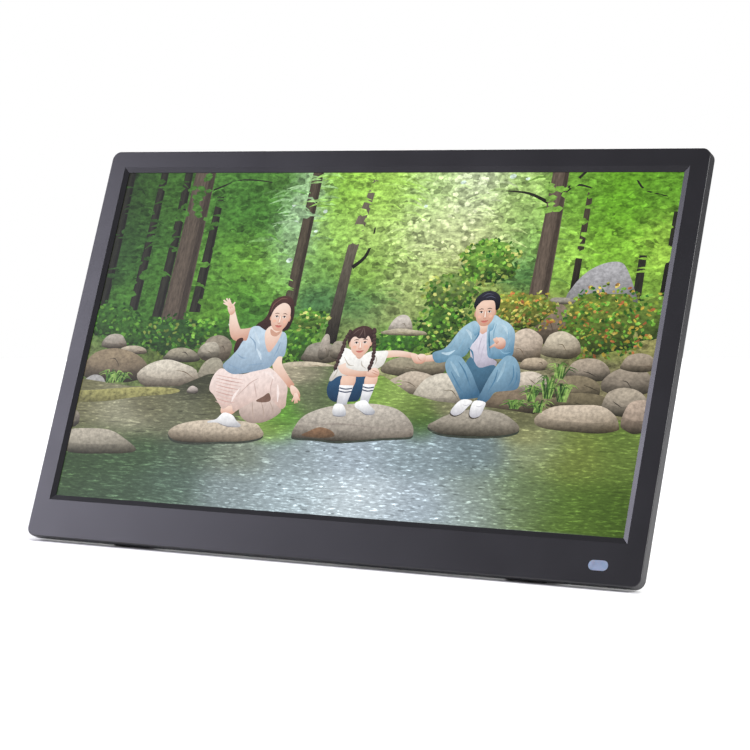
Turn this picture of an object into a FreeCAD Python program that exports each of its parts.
import FreeCAD, Part
import math
import os

# Digital photo frame with a 15.6 inch screen, standing on its own fold-out leg. Millimetres.
#
# Every piece is drawn with the frame upright and facing the viewer:
#   X runs to the viewer's right, Y runs from the front face to the back, Z runs up.
#   The front face of the bezel is Y = 0 and its bottom edge is Z = 0.
# Last, stand_up() leans the whole frame back to the angle at which its leg holds it and puts the
# origin under the middle of the object, on the table.

os.makedirs("parts", exist_ok=True)

# ---- driving dimensions -------------------------------------------------------------------------
LEAN = math.radians(22.26)      # the screen leans back from the vertical by this angle

PICTURE_W = 344.2               # the picture area of a 15.6 inch 16:9 panel
PICTURE_H = 193.6
BORDER_SIDE = 13.25             # bezel between the picture and the outer edge
BORDER_TOP = 12.7
BORDER_BOTTOM = 24.3
BEZEL_DEPTH = 6.2
BEZEL_WALL = 2.2
BEZEL_CORNER_R = 5.0
EDGE_BREAK = 0.5
BEVEL_W = 3.0                   # sloping edge that runs down to the picture
BEVEL_DEPTH = 1.1
LIP_BACK = 1.4                  # back of the thin lip that covers the panel's edge

FRAME_W = PICTURE_W + 2 * BORDER_SIDE
FRAME_H = PICTURE_H + BORDER_TOP + BORDER_BOTTOM
PICTURE_Z0 = BORDER_BOTTOM
PICTURE_Z1 = BORDER_BOTTOM + PICTURE_H

WINDOW_W = 10.5                 # milky window in front of the remote-control receiver
WINDOW_H = 5.2
WINDOW_X = 161.6
WINDOW_Z = 9.5

# LCD module: front of each layer, from the picture backwards
CELL_FRONT = 1.6
CELL_BACK = 2.8
GLASS_SPLIT = 2.2
PANEL_BACK = 4.95
TRAY_T = 0.3
PANEL_HALF_W = 175.3
PANEL_Z0 = 14.5
PANEL_Z1 = 222.5
CELL_MARGIN = 2.2               # glass beyond the picture
FILM_MARGIN = 1.0               # films and light guide beyond the picture
PANEL_GAP = 0.6                 # pocket in the bezel round the panel

# rear cover: a shallow tray with a raised box for the electronics
COVER_WALL = 2.0
RIM_INSET = 2.0
RIM_BACK = 8.6
SLOPE_INSET0 = 4.0
SLOPE_INSET1 = 16.0
PLATEAU = 15.0                  # back face of the shallow part
BOX_HALF_W = 118.0
BOX_Z0 = 34.0
BOX_Z1 = 176.0
BOX_BACK = 27.0
BOX_CORNER_R = 8.0

# fold-out leg and its hinge
HINGE_Y = 23.25
HINGE_Z = 135.0
LEG_REACH = 45.0                # how far behind the hinge the leg meets the table
LEG_HALF_W = 18.0
LEG_TIP_HALF_W = 13.0
LEG_T = 5.5
LEG_SKIN = 2.0
BARREL_R = 3.5
PIN_R = 1.5
RUNNING_GAP = 0.05
BAY_HALF_W = 22.0
BAY_FLOOR = 19.5
BAY_TOP = 146.0
POCKET_FLOOR = 17.5             # deeper floor under the hinge bracket
BRACKET_T = 1.2
STOP_GAP = 0.1

# feet
FOOT_X = 120.0
FOOT_W = 22.0
FOOT_T = 1.5
TABLE_BELOW_BEZEL = 0.8         # the lowest corner of the bezel clears the table by this much

# electronics
BOARD_FRONT = 14.4
BOARD_BACK = 16.0
BOARD_X0 = -115.4
BOARD_X1 = -32.0
BOARD_Z0 = 42.0
BOARD_Z1 = 168.0
PORT_WALL_X = -BOX_HALF_W
BUTTON_R = 3.9
BUTTON_GAP = 0.3
BUTTON_PITCH = 15.0
BUTTON_X0 = 46.0
BUTTON_Z = 195.0
SWITCH_TRAVEL = 2.5

VESA = 75.0
VESA_Z = 115.0
INSERT_R = 2.8
INSERT_BORE_R = 1.65            # tapping size of an M4 thread
INSERT_LENGTH = 8.0
INSERT_POST_WALL = 1.8
INSERT_POST_EXTRA = 2.4
CASE_POST_R = 3.0
CASE_POST_LENGTH = 2.3
BOARD_POST_R = 3.0
BRACKET_POST_R = 2.6
BRACKET_POST_FRONT = 11.0
VENT_R = 1.4
VENT_LOW = 183.0
VENT_HIGH = 207.0
INDUCTOR_W = 7.0
INDUCTORS = ((-60, 56), (-50, 60))
KNOB_GROOVES = (0.7, 1.35, 2.0)
KNOB_GROOVE_W = 0.35

CASE_SCREWS = [(sx * 178.6, z) for sx in (-1, 1) for z in (45.0, 115.0, 190.0)]
CASE_SCREWS += [(sx * 75.0, z) for sx in (-1, 1) for z in (8.0, 225.4)]
SCREW_FLOOR = 7.4
CLIPS = [(sx * 120.0, side) for sx in (-1, 1) for side in ("bottom", "top")]
BOARD_SCREWS = [(x, z) for x in (-96.0, -38.0) for z in (47.0, 163.0)]
BRACKET_SCREWS = [(sx * 14.5, z) for sx in (-1, 1) for z in (124.0, 142.7)]
VENTS_X = [-140.0 + 8.0 * i for i in range(12)]
SPEAKER_X = 143.5
SPEAKER_Z = 62.0

SIN_LEAN = math.sin(LEAN)
COS_LEAN = math.cos(LEAN)
# height of the table under the bezel's bottom front edge, in the leaned frame
TABLE = -BEZEL_DEPTH * SIN_LEAN - TABLE_BELOW_BEZEL

BACK = FreeCAD.Vector(0, 1, 0)
RIGHT = FreeCAD.Vector(1, 0, 0)


# ---- drawing helpers ----------------------------------------------------------------------------
def point(x, y, z):
    return FreeCAD.Vector(x, y, z)


def block(x0, x1, y0, y1, z0, z1):
    """Plain box between two corners."""
    return Part.makeBox(x1 - x0, y1 - y0, z1 - z0, point(x0, y0, z0))


def rod(x, y, z, radius, length, axis):
    """Cylinder that starts at a point and runs along an axis."""
    return Part.makeCylinder(radius, length, point(x, y, z), axis)


def outline(x0, x1, z0, z1, radius, y):
    """Rectangle in the plane Y = y, with round corners unless the radius is 0."""
    if radius == 0:
        corners = [point(x0, y, z0), point(x1, y, z0), point(x1, y, z1), point(x0, y, z1)]
        return Part.makePolygon(corners + corners[:1])
    r = radius
    k = r * (1 - math.sqrt(0.5))
    spots = [(x0 + r, z0), (x1 - r, z0), (x1 - k, z0 + k), (x1, z0 + r), (x1, z1 - r), (x1 - k, z1 - k),
             (x1 - r, z1), (x0 + r, z1), (x0 + k, z1 - k), (x0, z1 - r), (x0, z0 + r), (x0 + k, z0 + k)]
    p = [point(x, y, z) for x, z in spots]
    edges = []
    for start in (0, 3, 6, 9):
        edges.append(Part.LineSegment(p[start], p[start + 1]).toShape())
        edges.append(Part.Arc(p[start + 1], p[start + 2], p[(start + 3) % 12]).toShape())
    return Part.Wire(edges)


def slab(x0, x1, y0, y1, z0, z1, radius):
    """Plate with round corners, extruded from y0 back to y1."""
    face = Part.Face(outline(x0, x1, z0, z1, radius, y0))
    return face.extrude(BACK * (y1 - y0))


def tapered(front, back, radius):
    """Solid between two rectangles (x0, x1, z0, z1, y), both with round corners."""
    wires = [outline(x0, x1, z0, z1, radius, y) for x0, x1, z0, z1, y in (front, back)]
    return Part.makeLoft(wires, True, True)


def inset(amount, y):
    """The bezel's outline drawn in by an amount, as tapered() wants it."""
    return (-FRAME_W / 2 + amount, FRAME_W / 2 - amount, amount, FRAME_H - amount, y)


def joined(shapes):
    """One solid from several that touch."""
    first = shapes[0]
    rest = shapes[1:]
    if not rest:
        return first
    return first.fuse(rest).removeSplitter()


def group(shapes):
    """Separate solids kept together in one node."""
    return Part.makeCompound(shapes)


def side_profile(yz, x0, x1):
    """Polygon in the YZ plane, extruded along X."""
    corners = [point(x0, y, z) for y, z in yz]
    wire = Part.makePolygon(corners + corners[:1])
    return Part.Face(wire).extrude(RIGHT * (x1 - x0))


def cable(route, radius, bend):
    """Round cable along straight runs joined by tangent arcs."""
    points = [point(*p) for p in route]
    edges = []
    last = points[0]
    for before, corner, after in zip(points, points[1:], points[2:]):
        a = (before - corner).normalize()
        b = (after - corner).normalize()
        half = a.getAngle(b) / 2
        back_off = bend / math.tan(half)
        middle = corner + (a + b).normalize() * (bend / math.sin(half) - bend)
        start = corner + a * back_off
        end = corner + b * back_off
        edges.append(Part.LineSegment(last, start).toShape())
        edges.append(Part.Arc(start, middle, end).toShape())
        last = end
    edges.append(Part.LineSegment(last, points[-1]).toShape())
    path = Part.Wire(edges)
    section = Part.Wire([Part.makeCircle(radius, points[0], points[1] - points[0])])
    return path.makePipeShell([section], True, False)


def table_z(y, above=0.0):
    """Height, in the upright frame, of a point at depth y that ends up this far above the table."""
    return (TABLE + above + y * SIN_LEAN) / COS_LEAN


# ---- front: bezel, window and LCD module --------------------------------------------------------
def bezel_shell():
    x0, x1, z0, z1, _ = inset(0.0, 0.0)
    body = slab(x0, x1, 0, BEZEL_DEPTH, z0, z1, BEZEL_CORNER_R)
    front_edges = [e for e in body.Edges if e.BoundBox.YMax < 0.01]
    body = body.makeFillet(EDGE_BREAK, front_edges)
    x0, x1, z0, z1, _ = inset(BEZEL_WALL, 0.0)
    body = body.cut(slab(x0, x1, BEZEL_WALL, BEZEL_DEPTH + 1, z0, z1, BEZEL_CORNER_R - BEZEL_WALL))
    half = PANEL_HALF_W + PANEL_GAP
    pocket = block(-half, half, LIP_BACK, BEZEL_WALL + 1, PANEL_Z0 - PANEL_GAP, PANEL_Z1 + PANEL_GAP)
    return body.cut(pocket)


def picture_opening():
    """Opening with a bevel all round; it starts in front of the bezel so that it cuts cleanly."""
    ahead = 0.5
    half = PICTURE_W / 2
    wide = BEVEL_W * (1 + ahead / BEVEL_DEPTH)
    front = (-half - wide, half + wide, PICTURE_Z0 - wide, PICTURE_Z1 + wide, -ahead)
    back = (-half, half, PICTURE_Z0, PICTURE_Z1, BEVEL_DEPTH)
    bevel = tapered(front, back, 0)
    through = block(-half, half, BEVEL_DEPTH - 0.01, BEZEL_DEPTH, PICTURE_Z0, PICTURE_Z1)
    return [bevel, through]


def clip_boss_z(side):
    return 10.4 if side == "bottom" else 224.9


def window_plug(grow, y0, y1):
    return slab(WINDOW_X - WINDOW_W / 2 - grow, WINDOW_X + WINDOW_W / 2 + grow, y0, y1,
                WINDOW_Z - WINDOW_H / 2 - grow, WINDOW_Z + WINDOW_H / 2 + grow, WINDOW_H / 2 + grow - 0.01)


def front_bezel():
    posts = [rod(x, BEZEL_WALL - 0.2, z, 2.5, BEZEL_DEPTH - BEZEL_WALL + 0.15, BACK) for x, z in CASE_SCREWS]
    posts += [rod(x, BEZEL_WALL - 0.2, clip_boss_z(side), 1.9, 3.3, BACK) for x, side in CLIPS]
    bezel = joined([bezel_shell()] + posts)
    holes = picture_opening() + [window_plug(0.08, -1, BEZEL_WALL + 1)]
    holes += [rod(x, BEZEL_WALL + 0.4, z, 1.3, BEZEL_DEPTH, BACK) for x, z in CASE_SCREWS]
    holes += [rod(x, BEZEL_WALL + 0.4, clip_boss_z(side), 1.05, BEZEL_DEPTH, BACK) for x, side in CLIPS]
    return bezel.cut(holes)


def remote_window():
    pill = window_plug(0.0, 0.0, BEZEL_WALL + 0.5)
    flange = window_plug(0.9, BEZEL_WALL + 0.05, BEZEL_WALL + 0.75)
    return joined([pill, flange])


def picture_ring(inner, outer, y0, y1):
    """Ring round the picture area between two margins."""
    half = PICTURE_W / 2
    big = block(-half - outer, half + outer, y0, y1, PICTURE_Z0 - outer, PICTURE_Z1 + outer)
    return big.cut(block(-half - inner, half + inner, y0 - 1, y1 + 1, PICTURE_Z0 - inner, PICTURE_Z1 + inner))


def panel_gasket():
    return picture_ring(0.5, 1.4, LIP_BACK, CELL_FRONT)


def lcd_cell():
    half = PICTURE_W / 2 + CELL_MARGIN
    top = PICTURE_Z1 + CELL_MARGIN
    front_glass = block(-half, half, CELL_FRONT, GLASS_SPLIT, PICTURE_Z0 - 1.6, top)
    rear_glass = block(-half, half, GLASS_SPLIT, CELL_BACK, PICTURE_Z0 - 3.8, top)
    return joined([front_glass, rear_glass])


def panel_frame():
    half = PICTURE_W / 2 + FILM_MARGIN + 0.2
    bar = block(-PANEL_HALF_W, PANEL_HALF_W, CELL_BACK - 0.5, PANEL_BACK - 0.05, PANEL_Z0, PANEL_Z1)
    inside = block(-half, half, 0, BEZEL_DEPTH, PICTURE_Z0 - 7.0, PICTURE_Z1 + FILM_MARGIN + 0.2)
    cell_half = PICTURE_W / 2 + CELL_MARGIN + 0.1
    seat = block(-cell_half, cell_half, 0, CELL_BACK + 0.05, PICTURE_Z0 - 3.9, PICTURE_Z1 + CELL_MARGIN + 0.1)
    return bar.cut([inside, seat])


def film(y0, y1):
    half = PICTURE_W / 2 + FILM_MARGIN
    return block(-half, half, y0, y1, PICTURE_Z0 - FILM_MARGIN, PICTURE_Z1 + FILM_MARGIN)


def led_strip():
    strip_z = PICTURE_Z0 - FILM_MARGIN - 0.1
    half = PICTURE_W / 2 - 4
    tape = block(-half, half, 3.3, 3.4, strip_z - 5.0, strip_z)
    lamps = []
    for i in range(36):
        x = -half + 6 + i * (2 * half - 12) / 35
        lamps.append(block(x - 1.8, x + 1.8, 3.4, 4.2, strip_z - 1.4, strip_z))
    return joined([tape] + lamps)


def panel_back_tray():
    tray = block(-PANEL_HALF_W, PANEL_HALF_W, PANEL_BACK, PANEL_BACK + TRAY_T, PANEL_Z0, PANEL_Z1)
    ribs = [block(x - 1.5, x + 1.5, PANEL_BACK, PANEL_BACK + 0.8, 40, 205) for x in (-130.0, 0.0, 130.0)]
    return joined([tray] + ribs)


def panel_driver_board():
    board = block(-110, 110, 5.45, 6.05, 15.5, 27.0)
    chips = [block(x - 7, x + 7, 6.05, 6.95, 18, 24) for x in (-60.0, 40.0)]
    return joined([board, block(-96, -76, 6.05, 7.15, 19, 24)] + chips)


def panel_flex_tabs():
    tabs = []
    for i in range(6):
        x0 = -96.0 + i * 34.0
        x1 = x0 + 22.0
        front = block(x0, x1, 2.05, 2.15, 14.15, 22.4)
        under = block(x0, x1, 2.05, 5.4, 14.15, 14.25)
        rear = block(x0, x1, 5.3, 5.4, 14.15, 21.0)
        tabs.append(joined([front, under, rear]))
    return group(tabs)


def panel_clips():
    """Sprung steel clips that hold the panel's edge against the bezel."""
    clips = []
    for x, side in CLIPS:
        z = clip_boss_z(side)
        inward = 1 if side == "bottom" else -1
        low = min(z - 2.4 * inward, z + 11 * inward)
        high = max(z - 2.4 * inward, z + 11 * inward)
        plate = block(x - 6, x + 6, 5.3, 6.0, low, high)
        clips.append(plate.cut(rod(x, 5, z, 1.2, 2, BACK)))
    return group(clips)


def screw(x, y_seat, z, head_r, head_h, shank_r, shank_l):
    """Screw driven from the back: the head's underside is at y_seat, with a cross recess."""
    head = rod(x, y_seat, z, head_r, head_h, BACK)
    shank = rod(x, y_seat - shank_l, z, shank_r, shank_l, BACK)
    body = joined([head, shank])
    arm = head_r * 0.6
    width = head_r * 0.17
    top = y_seat + head_h
    depth = head_h * 0.6
    cross = [block(x - arm, x + arm, top - depth, top + 1, z - width, z + width),
             block(x - width, x + width, top - depth, top + 1, z - arm, z + arm)]
    return body.cut(cross)


def panel_clip_screws():
    return group([screw(x, 6.0, clip_boss_z(side), 1.6, 1.0, 1.0, 3.2) for x, side in CLIPS])


def ir_board():
    return block(WINDOW_X - 12, WINDOW_X + 12, 5.15, 6.0, 4.9, 13.6)


def ir_receiver():
    body = block(WINDOW_X - 3.2, WINDOW_X + 3.2, 3.9, 5.1, WINDOW_Z - 3.2, WINDOW_Z + 3.2)
    lens = rod(WINDOW_X, 3.1, WINDOW_Z, 2.2, 0.9, BACK)
    return joined([body, lens])


def ir_cable():
    route = [(WINDOW_X - 12.1, 5.6, 9.2), (140, 5.6, 9.2), (131, 8.6, 18), (90, 9.4, 26), (-30, 9.4, 36),
             (-66, 12.6, 46)]
    return cable(route, 0.7, 4.0)


# ---- rear cover ---------------------------------------------------------------------------------
def cover_outside():
    rim = slab(*rim_box(RIM_INSET, BEZEL_DEPTH + 0.05, RIM_BACK), 4.0)
    slope = tapered(inset(SLOPE_INSET0, RIM_BACK), inset(SLOPE_INSET1, PLATEAU), 10.0)
    raised = slab(-BOX_HALF_W, BOX_HALF_W, PLATEAU - 2, BOX_BACK, BOX_Z0, BOX_Z1, BOX_CORNER_R)
    back_edges = [e for e in raised.Edges if e.BoundBox.YMin > BOX_BACK - 0.01]
    raised = raised.makeChamfer(1.5, back_edges)
    return joined([rim, slope, raised])


def rim_box(amount, y0, y1):
    x0, x1, z0, z1, _ = inset(amount, 0.0)
    return x0, x1, y0, y1, z0, z1


def cover_hollow():
    rim = slab(*rim_box(RIM_INSET + COVER_WALL, BEZEL_DEPTH - 1, 7.01), 2.5)
    slope = tapered(inset(SLOPE_INSET0 + 1.5, 7.0), inset(SLOPE_INSET1 + 1.5, PLATEAU - COVER_WALL), 8.5)
    t = COVER_WALL
    raised = slab(-BOX_HALF_W + t, BOX_HALF_W - t, PLATEAU - t - 0.01, BOX_BACK - t,
                  BOX_Z0 + t, BOX_Z1 - t, BOX_CORNER_R - t)
    return [rim, slope, raised]


def leg_bay_walls():
    t = COVER_WALL
    bay = block(-BAY_HALF_W - t, BAY_HALF_W + t, BAY_FLOOR - t, BOX_BACK - 1, BOX_Z0 + 1, BAY_TOP + t)
    pocket = block(-BAY_HALF_W - t, BAY_HALF_W + t, POCKET_FLOOR - t, BOX_BACK - 1, 116.0, BAY_TOP + t)
    return [bay, pocket]


def leg_bay_space():
    bay = block(-BAY_HALF_W, BAY_HALF_W, BAY_FLOOR, BOX_BACK + 1, BOX_Z0 - 1, BAY_TOP)
    pocket = block(-BAY_HALF_W, BAY_HALF_W, POCKET_FLOOR, BOX_BACK + 1, 118.0, BAY_TOP)
    return [bay, pocket]


def insert_spots():
    return [(sx * VESA / 2, VESA_Z + sz * VESA / 2) for sx in (-1, 1) for sz in (-1, 1)]


def cover_posts():
    """Posts and sleeves inside the cover that the screws and brass inserts go into."""
    posts = [rod(x, BEZEL_DEPTH + 0.05, z, CASE_POST_R, CASE_POST_LENGTH, BACK) for x, z in CASE_SCREWS]
    depth = INSERT_LENGTH + INSERT_POST_EXTRA
    insert_post_r = INSERT_R + INSERT_POST_WALL
    posts += [rod(x, BOX_BACK - depth, z, insert_post_r, depth - 1, BACK) for x, z in insert_spots()]
    board_post = BOX_BACK - BOARD_BACK - 1
    posts += [rod(x, BOARD_BACK + 0.05, z, BOARD_POST_R, board_post, BACK) for x, z in BOARD_SCREWS]
    bracket_post = POCKET_FLOOR - 0.5 - BRACKET_POST_FRONT
    posts += [rod(x, BRACKET_POST_FRONT, z, BRACKET_POST_R, bracket_post, BACK) for x, z in BRACKET_SCREWS]
    return posts


def foot_bosses():
    half = FOOT_W / 2 + 1.5
    yz = [(9.4, table_z(9.4, FOOT_T)), (19.0, table_z(19.0, FOOT_T)), (19.0, 12.0), (14.8, 17.0), (9.4, 8.6)]
    return [side_profile(yz, sx * FOOT_X - half, sx * FOOT_X + half) for sx in (-1, 1)]


def snap_tabs():
    """Tongues on the cover's rim that snap inside the bezel's walls."""
    y0 = BEZEL_DEPTH - 2.2
    y1 = BEZEL_DEPTH + 1.5
    edge = FRAME_W / 2 - BEZEL_WALL - 0.2
    tabs = []
    for x in (-150.0, -30.0, 30.0, 150.0):
        tabs.append(block(x - 6, x + 6, y0, y1, FRAME_H - BEZEL_WALL - 1.6, FRAME_H - BEZEL_WALL - 0.2))
        if x < 150:
            tabs.append(block(x - 6, x + 6, y0, y1, BEZEL_WALL + 0.2, BEZEL_WALL + 1.8))
    for z in (80.0, 150.0):
        tabs.append(block(edge - 1.6, edge, y0, y1, z - 6, z + 6))
        tabs.append(block(-edge, -edge + 1.6, y0, y1, z - 6, z + 6))
    return tabs


def speaker_grille(sx):
    holes = []
    for column in range(5):
        for row in range(9):
            x = sx * SPEAKER_X + (column - 2) * 5.0
            z = SPEAKER_Z + (row - 4) * 4.6
            holes.append(rod(x, PLATEAU - COVER_WALL - 1, z, 1.1, 4, BACK))
    return holes


def vent_slots():
    front, back, round_r = PLATEAU - COVER_WALL - 1, PLATEAU + 1, VENT_R - 0.01
    return [slab(x - VENT_R, x + VENT_R, front, back, VENT_LOW, VENT_HIGH, round_r) for x in VENTS_X]


def button_spots():
    names = ["power", "menu", "enter", "left", "right", "up", "down"]
    return [(name, BUTTON_X0 + i * BUTTON_PITCH) for i, name in enumerate(names)]


def port_list():
    """Each socket on the port wall: middle height, opening along Z, opening along Y, middle depth."""
    return {"dc": (51.0, 7.0, 7.0, 20.4),
            "headphone": (65.0, 6.4, 6.4, 19.6),
            "hdmi": (81.0, 15.6, 6.2, 19.2),
            "mini_usb": (97.0, 8.2, 4.2, 18.2),
            "usb": (112.5, 13.8, 6.4, 19.2),
            "card": (136.0, 25.6, 3.2, 18.0),
            "switch": (159.0, 3.4 + SWITCH_TRAVEL, 3.6, 19.6)}


def port_openings():
    cuts = []
    for z, along_z, along_y, y in port_list().values():
        cuts.append(block(PORT_WALL_X - 1, PORT_WALL_X + COVER_WALL + 1, y - along_y / 2, y + along_y / 2,
                          z - along_z / 2, z + along_z / 2))
    return cuts


def cover_holes():
    cuts = [rod(x, SCREW_FLOOR, z, 2.5, 12, BACK) for x, z in CASE_SCREWS]
    cuts += [rod(x, BEZEL_DEPTH - 1, z, 1.4, 4, BACK) for x, z in CASE_SCREWS]
    insert_front = BOX_BACK - INSERT_LENGTH - 3
    cuts += [rod(x, insert_front, z, INSERT_R + 0.02, INSERT_LENGTH + 4, BACK) for x, z in insert_spots()]
    cuts += [rod(x, BOARD_BACK, z, 1.1, 7, BACK) for x, z in BOARD_SCREWS]
    cuts += [rod(x, 11.5, z, 1.15, 8, BACK) for x, z in BRACKET_SCREWS]
    cuts += [rod(x, 12, BUTTON_Z, BUTTON_R + BUTTON_GAP, 5, BACK) for _, x in button_spots()]
    return cuts


def rear_cover():
    shell = cover_outside().cut(cover_hollow())
    added = leg_bay_walls() + cover_posts() + foot_bosses() + snap_tabs()
    shell = joined([shell] + added)
    cuts = leg_bay_space() + cover_holes() + vent_slots() + port_openings()
    cuts += speaker_grille(-1) + speaker_grille(1)
    return shell.cut(cuts)


def bottom_feet():
    """Rubber wedges whose undersides lie flat on the table."""
    y0 = 9.9
    y1 = 18.5
    half = FOOT_W / 2
    yz = [(y0, table_z(y0)), (y1, table_z(y1)), (y1, table_z(y1, FOOT_T)), (y0, table_z(y0, FOOT_T))]
    return group([side_profile(yz, sx * FOOT_X - half, sx * FOOT_X + half) for sx in (-1, 1)])


def wall_mount_inserts():
    sleeves = []
    for x, z in insert_spots():
        y0 = BOX_BACK - INSERT_LENGTH
        sleeve = rod(x, y0, z, INSERT_R, INSERT_LENGTH, BACK)
        sleeves.append(sleeve.cut(rod(x, y0 + 0.6, z, INSERT_BORE_R, INSERT_LENGTH, BACK)))
    return group(sleeves)


def case_screws():
    return group([screw(x, SCREW_FLOOR, z, 2.2, 1.4, 1.25, 4.3) for x, z in CASE_SCREWS])


# ---- buttons ------------------------------------------------------------------------------------
def button_cap(x):
    """Push cap with a collar that stops it falling out; it moves forward when pressed."""
    inner = PLATEAU - COVER_WALL
    cap = rod(x, inner - 0.5, BUTTON_Z, BUTTON_R, COVER_WALL + 1.6, BACK)
    back_edges = [e for e in cap.Edges if e.BoundBox.YMin > PLATEAU + 1.0]
    cap = cap.makeFillet(0.4, back_edges)
    dish = Part.makeSphere(14.0, point(x, PLATEAU + 14.9, BUTTON_Z))
    collar = rod(x, inner - 1.2, BUTTON_Z, BUTTON_R + 1.1, 1.0, BACK)
    stem = rod(x, inner - 2.6, BUTTON_Z, 1.2, 1.6, BACK)
    return joined([cap.cut(dish), collar, stem])


def button_board():
    x0 = button_spots()[0][1] - 9
    x1 = button_spots()[-1][1] + 9
    return block(x0, x1, 6.6, 7.6, BUTTON_Z - 8, BUTTON_Z + 8)


def tact_switches():
    switches = []
    for _, x in button_spots():
        can = block(x - 3, x + 3, 7.65, 9.15, BUTTON_Z - 3, BUTTON_Z + 3)
        plunger = rod(x, 9.15, BUTTON_Z, 1.6, 0.7, BACK)
        switches.append(joined([can, plunger]))
    return group(switches)


def button_cable():
    route = [(36.0, 7.4, 195), (26, 7.4, 192), (-26, 9.6, 176), (-60, 12.2, 160)]
    return cable(route, 0.8, 4.0)


# ---- main board and its sockets -----------------------------------------------------------------
def main_board():
    board = slab(BOARD_X0, BOARD_X1, BOARD_FRONT, BOARD_BACK, BOARD_Z0, BOARD_Z1, 1.5)
    board = board.cut([rod(x, 12, z, 1.3, 6, BACK) for x, z in BOARD_SCREWS])
    plugs = [block(-76, -56, 13.0, BOARD_FRONT, 62, 66), block(-62, -54, 13.4, BOARD_FRONT, 156, 160)]
    return joined([board] + plugs)


def board_screws():
    screws = []
    for x, z in BOARD_SCREWS:
        head = rod(x, BOARD_FRONT - 1.3, z, 2.3, 1.3, BACK)
        shank = rod(x, BOARD_FRONT, z, 1.0, 6.0, BACK)
        slot = block(x - 0.3, x + 0.3, BOARD_FRONT - 2, BOARD_FRONT - 0.7, z - 1.6, z + 1.6)
        screws.append(joined([head, shank]).cut(slot))
    return group(screws)


def main_processor():
    return block(-79, -61, BOARD_BACK + 0.05, BOARD_BACK + 1.4, 96, 114)


def heat_sink():
    y0 = BOARD_BACK + 1.45
    base = block(-82, -58, y0, y0 + 1.5, 93, 117)
    fins = [block(-82, -58, y0, y0 + 6.0, 93 + i * 3.3, 94.2 + i * 3.3) for i in range(8)]
    return joined([base] + fins)


def memory_chips():
    y0 = BOARD_BACK + 0.05
    places = [(-52, 96), (-52, 111), (-74, 128), (-56, 128), (-72, 76)]
    return group([block(x - 4.5, x + 4.5, y0, y0 + 1.1, z - 6, z + 6) for x, z in places])


def capacitors():
    y0 = BOARD_BACK + 0.05
    places = [(-88, 56, 3.2), (-80, 56, 3.2), (-72, 56, 2.5), (-55, 70, 2.5), (-48, 70, 2.5), (-90, 70, 2.0)]
    cans = []
    for x, z, radius in places:
        base = block(x - radius, x + radius, y0, y0 + 0.8, z - radius, z + radius)
        can = rod(x, y0 + 0.8, z, radius - 0.1, 5.4, BACK)
        cans.append(joined([base, can]))
    return group(cans)


def inductors():
    y0 = BOARD_BACK + 0.05
    half = INDUCTOR_W / 2
    return group([slab(x - half, x + half, y0, y0 + 3.0, z - half, z + half, 1.2) for x, z in INDUCTORS])


def socket_shell(name, depth, wall, gap):
    """Open metal box behind the port's opening; its mouth is flush with the cover's outside."""
    z, along_z, along_y, y = port_list()[name]
    half_z = along_z / 2 - gap
    half_y = along_y / 2 - gap
    x0 = PORT_WALL_X + 0.2
    outer = block(x0, x0 + depth, y - half_y, y + half_y, z - half_z, z + half_z)
    inner = block(x0 - 1, x0 + depth - wall, y - half_y + wall, y + half_y - wall,
                  z - half_z + wall, z + half_z - wall)
    return outer.cut(inner)


def tongue(name, x_front, depth, half_y, half_z):
    z, _, _, y = port_list()[name]
    return block(PORT_WALL_X + x_front, PORT_WALL_X + depth, y - half_y, y + half_y, z - half_z, z + half_z)


def usb_socket():
    return joined([socket_shell("usb", 14.0, 0.35, 0.3), tongue("usb", 2.0, 14.0, 0.95, 5.4)])


def mini_usb_socket():
    return joined([socket_shell("mini_usb", 9.0, 0.35, 0.2), tongue("mini_usb", 1.5, 9.0, 0.45, 2.6)])


def hdmi_socket():
    return joined([socket_shell("hdmi", 12.0, 0.35, 0.3), tongue("hdmi", 1.8, 12.0, 0.6, 5.8)])


def sd_card_socket():
    z, along_z, along_y, y = port_list()["card"]
    x0 = PORT_WALL_X + COVER_WALL + 0.2
    outer = block(x0, x0 + 28, y - 1.9, y + 1.8, z - 14.0, z + 14.0)
    inner = block(x0 - 1, x0 + 26, y - 1.2, y + 1.2, z - 12.2, z + 12.2)
    return outer.cut(inner)


def headphone_jack():
    z, _, _, y = port_list()["headphone"]
    x0 = PORT_WALL_X + 0.2
    nose = rod(x0, y, z, 3.0, 3.0, RIGHT)
    body = block(x0 + 2.5, x0 + 14.5, y - 3.3, y + 3.1, z - 3.2, z + 3.2)
    return joined([nose, body]).cut(rod(x0 - 1, y, z, 1.8, 13.0, RIGHT))


def dc_power_jack():
    z, _, _, y = port_list()["dc"]
    x0 = PORT_WALL_X + COVER_WALL + 0.3
    body = block(x0, x0 + 13.0, y - 4.2, y + 4.2, z - 4.5, z + 4.5)
    body = body.cut(rod(x0 - 1, y, z, 3.1, 11.0, RIGHT))
    return joined([body, rod(x0 + 1.0, y, z, 1.0, 12.0, RIGHT)])


def power_switch_housing():
    z, along_z, _, y = port_list()["switch"]
    x0 = PORT_WALL_X + COVER_WALL + 0.2
    body = block(x0, x0 + 5.5, y - 3.3, y + 3.3, z - 6.0, z + 6.0)
    groove = block(x0 - 1, x0 + 2.6, y - 1.7, y + 1.7, z - along_z / 2, z + along_z / 2)
    return body.cut(groove)


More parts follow.
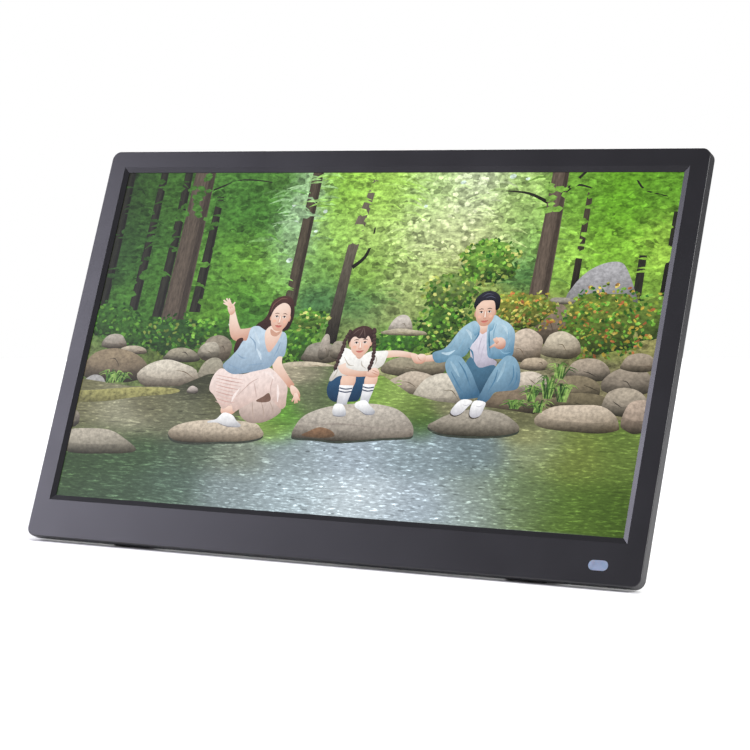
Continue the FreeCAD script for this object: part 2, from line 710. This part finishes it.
def power_switch_knob():
    """Ribbed knob in its lower place, where the frame is switched on."""
    z, along_z, along_y, y = port_list()["switch"]
    z0 = z - along_z / 2 + 0.2
    z1 = z0 + 3.0
    half = along_y / 2 - 0.3
    knob = block(PORT_WALL_X - 1.3, PORT_WALL_X + COVER_WALL + 2.6, y - half, y + half, z0, z1)
    grooves = []
    for k in KNOB_GROOVES:
        low = z0 + k
        grooves.append(block(PORT_WALL_X - 2, PORT_WALL_X - 0.9, y - 3, y + 3, low, low + KNOB_GROOVE_W))
    return knob.cut(grooves)


def coin_cell_holder():
    x, z, y0 = -62.0, 147.0, BOARD_BACK + 0.05
    cup = rod(x, y0, z, 11.6, 3.8, BACK)
    return cup.cut(rod(x, y0 + 0.8, z, 10.2, 5, BACK))


def coin_cell():
    x, z, y0 = -62.0, 147.0, BOARD_BACK + 0.95
    rim = rod(x, y0, z, 8.8, 0.6, BACK)
    return joined([rim, rod(x, y0 + 0.6, z, 10.0, 2.4, BACK)])


# ---- speakers and the remaining cables ----------------------------------------------------------
def speaker_frames():
    frames = []
    for sx in (-1, 1):
        x = sx * SPEAKER_X
        y0 = PLATEAU - COVER_WALL - 0.1
        body = slab(x - 14, x + 14, y0 - 3.6, y0, SPEAKER_Z - 22, SPEAKER_Z + 22, 6.0)
        hollow = slab(x - 12, x + 12, y0 - 3.0, y0 + 1, SPEAKER_Z - 20, SPEAKER_Z + 20, 5.0)
        frames.append(body.cut([hollow, rod(x, y0 - 5, SPEAKER_Z, 7.1, 4, BACK)]))
    return group(frames)


def speaker_cones():
    cones = []
    for sx in (-1, 1):
        x = sx * SPEAKER_X
        y0 = PLATEAU - COVER_WALL - 1.0
        sheet = slab(x - 11.8, x + 11.8, y0 - 0.4, y0, SPEAKER_Z - 19.8, SPEAKER_Z + 19.8, 4.9)
        cones.append(joined([sheet, slab(x - 7, x + 7, y0 - 1.0, y0, SPEAKER_Z - 13, SPEAKER_Z + 13, 4.0)]))
    return group(cones)


def speaker_magnets():
    y0 = PLATEAU - COVER_WALL - 6.3
    return group([rod(sx * SPEAKER_X, y0, SPEAKER_Z, 7.0, 4.1, BACK) for sx in (-1, 1)])


def speaker_leads():
    y = 8.2
    left = cable([(-136.2, y, 62), (-126, y, 62), (-112, 10.4, 66), (-98, 12.8, 78)], 0.6, 3.0)
    right = cable([(136.2, y, 62), (120, y, 66), (20, 9.0, 72), (-40, 10.0, 72), (-60, 12.8, 80)], 0.6, 3.0)
    return group([left, right])


def display_cable():
    along = block(-95, -77, 7.2, 7.35, 20, 64)
    rise = block(-95, -77, 7.2, 12.9, 63.85, 64)
    across = block(-95, -62, 12.75, 12.9, 63.0, 65.0)
    return joined([along, rise, across])


def backlight_cable():
    route = [(112, 6.1, 20), (118, 6.6, 30), (60, 7.2, 50), (-30, 8.4, 98), (-56, 12.6, 104)]
    return cable(route, 0.6, 4.0)


# ---- leg and hinge ------------------------------------------------------------------------------
def hinge_height():
    """Height of the hinge axis above the table when the frame stands."""
    return HINGE_Z * COS_LEAN - HINGE_Y * SIN_LEAN - TABLE


def leg_angle():
    """Angle by which the open leg stands away from its folded place."""
    return math.atan2(LEG_REACH, hinge_height()) + LEAN


def leg_length():
    return math.hypot(LEG_REACH, hinge_height())


def leg_plan(shrink, u0, u1, y0, y1):
    """Tapering plan of the leg between two distances from the hinge, as a plate."""
    full = leg_length()

    def half_at(u):
        share = min(1.0, max(0.0, (u - 30.0) / (full - 30.0)))
        return LEG_HALF_W + (LEG_TIP_HALF_W - LEG_HALF_W) * share - shrink

    stations = [u0] + [u for u in (30.0,) if u0 < u < u1] + [u1]
    right = [point(half_at(u), y0, HINGE_Z - u) for u in stations]
    left = [point(-half_at(u), y0, HINGE_Z - u) for u in reversed(stations)]
    corners = right + left
    return Part.Face(Part.makePolygon(corners + corners[:1])).extrude(BACK * (y1 - y0))


def leg_opened(shape):
    shape.rotate(point(0, HINGE_Y, HINGE_Z), RIGHT, math.degrees(leg_angle()))
    return shape


def stand_leg():
    full = leg_length()
    tip = full - 4.0
    y0 = HINGE_Y - LEG_T / 2
    y1 = HINGE_Y + LEG_T / 2
    plate = leg_plan(0.0, 0.0, tip, y0, y1)
    back_edges = [e for e in plate.Edges if abs(e.BoundBox.YMin - y1) < 0.01]
    long_edges = [e for e in back_edges if e.BoundBox.ZMax < HINGE_Z - 0.1]
    plate = plate.makeFillet(1.2, long_edges)
    hollow = leg_plan(2.0, 9.0, tip - 9.0, y0 - 1, y1 - LEG_SKIN)
    ribs = [block(-0.8, 0.8, y0 + 0.4, y1 - 0.5, HINGE_Z - tip + 8, HINGE_Z - 8)]
    for u in (34.0, 62.0, 90.0):
        ribs.append(block(-14.5, 14.5, y0 + 0.4, y1 - 0.5, HINGE_Z - u - 0.8, HINGE_Z - u + 0.8))
    barrel = rod(-LEG_HALF_W, HINGE_Y, HINGE_Z, BARREL_R, 2 * LEG_HALF_W, RIGHT)
    leg = leg_opened(joined([plate.cut(hollow), barrel] + ribs))
    plate_top = POCKET_FLOOR + BRACKET_T
    heel = block(-9, 9, plate_top + STOP_GAP, HINGE_Y, HINGE_Z, HINGE_Z + 5.0)
    bore = rod(-30, HINGE_Y, HINGE_Z, PIN_R + RUNNING_GAP, 60, RIGHT)
    return joined([leg, heel]).cut(bore)


def under_table():
    """Everything below the table top, drawn in the upright frame."""
    solid = Part.makeBox(600, 600, 60, point(-300, -300, TABLE - 60))
    solid.rotate(point(0, 0, 0), RIGHT, math.degrees(LEAN))
    return solid


def stand_foot_pad():
    """Rubber shoe on the tip of the leg, with a flat sole."""
    full = leg_length()
    half = LEG_TIP_HALF_W + 1.2
    y0 = HINGE_Y - LEG_T / 2 - 1.2
    y1 = HINGE_Y + LEG_T / 2 + 1.2
    shoe = block(-half, half, y0, y1, HINGE_Z - full - 8, HINGE_Z - full + 7)
    upright = [e for e in shoe.Edges if e.BoundBox.YLength > 1]
    shoe = leg_opened(shoe.makeFillet(2.0, upright))
    half = LEG_T / 2 + 0.01
    tip = leg_opened(leg_plan(-0.01, 0.0, full - 3.99, HINGE_Y - half, HINGE_Y + half))
    return shoe.cut([tip, under_table()])


def stand_hinge_bracket():
    inner = LEG_HALF_W + 0.8
    outer = inner + BRACKET_T
    plate = block(-outer, outer, POCKET_FLOOR, POCKET_FLOOR + BRACKET_T, 120.5, BAY_TOP - 0.4)
    ears = []
    for x0 in (-outer, inner):
        ear = block(x0, x0 + BRACKET_T, POCKET_FLOOR, HINGE_Y, HINGE_Z - 4.5, HINGE_Z + 4.5)
        ears += [ear, rod(x0, HINGE_Y, HINGE_Z, 3.4, BRACKET_T, RIGHT)]
    bracket = joined([plate] + ears)
    holes = [rod(x, 16, z, 1.25, 4, BACK) for x, z in BRACKET_SCREWS]
    holes.append(rod(-30, HINGE_Y, HINGE_Z, PIN_R + 0.01, 60, RIGHT))
    return bracket.cut(holes)


def bracket_screws():
    seat = POCKET_FLOOR + BRACKET_T
    return group([screw(x, seat, z, 2.2, 1.1, 1.1, 6.0) for x, z in BRACKET_SCREWS])


def stand_hinge_pin():
    end = LEG_HALF_W + 0.8 + BRACKET_T
    shaft = rod(-end - 0.6, HINGE_Y, HINGE_Z, PIN_R, 2 * end + 1.2, RIGHT)
    heads = [rod(-end - 1.2, HINGE_Y, HINGE_Z, 2.4, 1.1, RIGHT)]
    heads.append(rod(end + 0.1, HINGE_Y, HINGE_Z, 2.0, 0.8, RIGHT))
    return joined([shaft] + heads)


def friction_washers():
    washers = []
    for x0 in (-LEG_HALF_W - 0.7, LEG_HALF_W + 0.2):
        ring = rod(x0, HINGE_Y, HINGE_Z, 3.2, 0.5, RIGHT)
        washers.append(ring.cut(rod(x0 - 1, HINGE_Y, HINGE_Z, PIN_R + 0.03, 3, RIGHT)))
    return group(washers)


# ---- the whole frame ----------------------------------------------------------------------------
def all_pieces():
    pieces = {
        "front_bezel": front_bezel(), "remote_window": remote_window(), "panel_gasket": panel_gasket(),
        "lcd_cell": lcd_cell(), "panel_frame": panel_frame(), "optical_films": film(2.9, 3.2),
        "light_guide": film(3.45, 4.45), "reflector_sheet": film(4.5, 4.7), "led_strip": led_strip(),
        "panel_back_tray": panel_back_tray(), "panel_driver_board": panel_driver_board(),
        "panel_flex_tabs": panel_flex_tabs(), "panel_clips": panel_clips(),
        "panel_clip_screws": panel_clip_screws(), "ir_board": ir_board(), "ir_receiver": ir_receiver(),
        "ir_cable": ir_cable(), "rear_cover": rear_cover(), "bottom_feet": bottom_feet(),
        "wall_mount_inserts": wall_mount_inserts(), "case_screws": case_screws(),
        "button_board": button_board(), "tact_switches": tact_switches(), "button_cable": button_cable(),
        "main_board": main_board(), "board_screws": board_screws(), "main_processor": main_processor(),
        "heat_sink": heat_sink(), "memory_chips": memory_chips(), "capacitors": capacitors(),
        "inductors": inductors(), "usb_socket": usb_socket(), "mini_usb_socket": mini_usb_socket(),
        "hdmi_socket": hdmi_socket(), "sd_card_socket": sd_card_socket(), "headphone_jack": headphone_jack(),
        "dc_power_jack": dc_power_jack(), "power_switch_housing": power_switch_housing(),
        "power_switch_knob": power_switch_knob(), "coin_cell_holder": coin_cell_holder(),
        "coin_cell": coin_cell(), "speaker_frames": speaker_frames(), "speaker_cones": speaker_cones(),
        "speaker_magnets": speaker_magnets(), "speaker_leads": speaker_leads(),
        "display_cable": display_cable(), "backlight_cable": backlight_cable(), "stand_leg": stand_leg(),
        "stand_foot_pad": stand_foot_pad(), "stand_hinge_bracket": stand_hinge_bracket(),
        "bracket_screws": bracket_screws(), "stand_hinge_pin": stand_hinge_pin(),
        "friction_washers": friction_washers(),
    }
    for name, x in button_spots():
        pieces["button_" + name] = button_cap(x)
    return pieces


def stand_up(pieces):
    """Lean every piece back, then put the origin under the middle of the whole object."""
    for shape in pieces.values():
        shape.rotate(point(0, 0, 0), RIGHT, -math.degrees(LEAN))
    whole = Part.makeCompound(list(pieces.values())).optimalBoundingBox(False, False)
    shift = point(-(whole.XMin + whole.XMax) / 2, -(whole.YMin + whole.YMax) / 2, -whole.ZMin)
    for shape in pieces.values():
        shape.translate(shift)
    return shift, whole


def report(pieces, shift, whole):
    print("pieces", len(pieces), "box %.2f x %.2f x %.2f" % (whole.XLength, whole.YLength, whole.ZLength))
    print("shift %.4f %.4f %.4f" % (shift.x, shift.y, shift.z))
    print("leg opens by %.4f degrees and is %.2f long" % (math.degrees(leg_angle()), leg_length()))
    for name, shape in pieces.items():
        if not shape.isValid() or shape.Volume <= 0:
            print("check", name, shape.isValid(), round(shape.Volume, 2))


def main():
    pieces = all_pieces()
    shift, whole = stand_up(pieces)
    for name, shape in pieces.items():
        shape.exportStep("parts/" + name + ".step")
    report(pieces, shift, whole)


main()
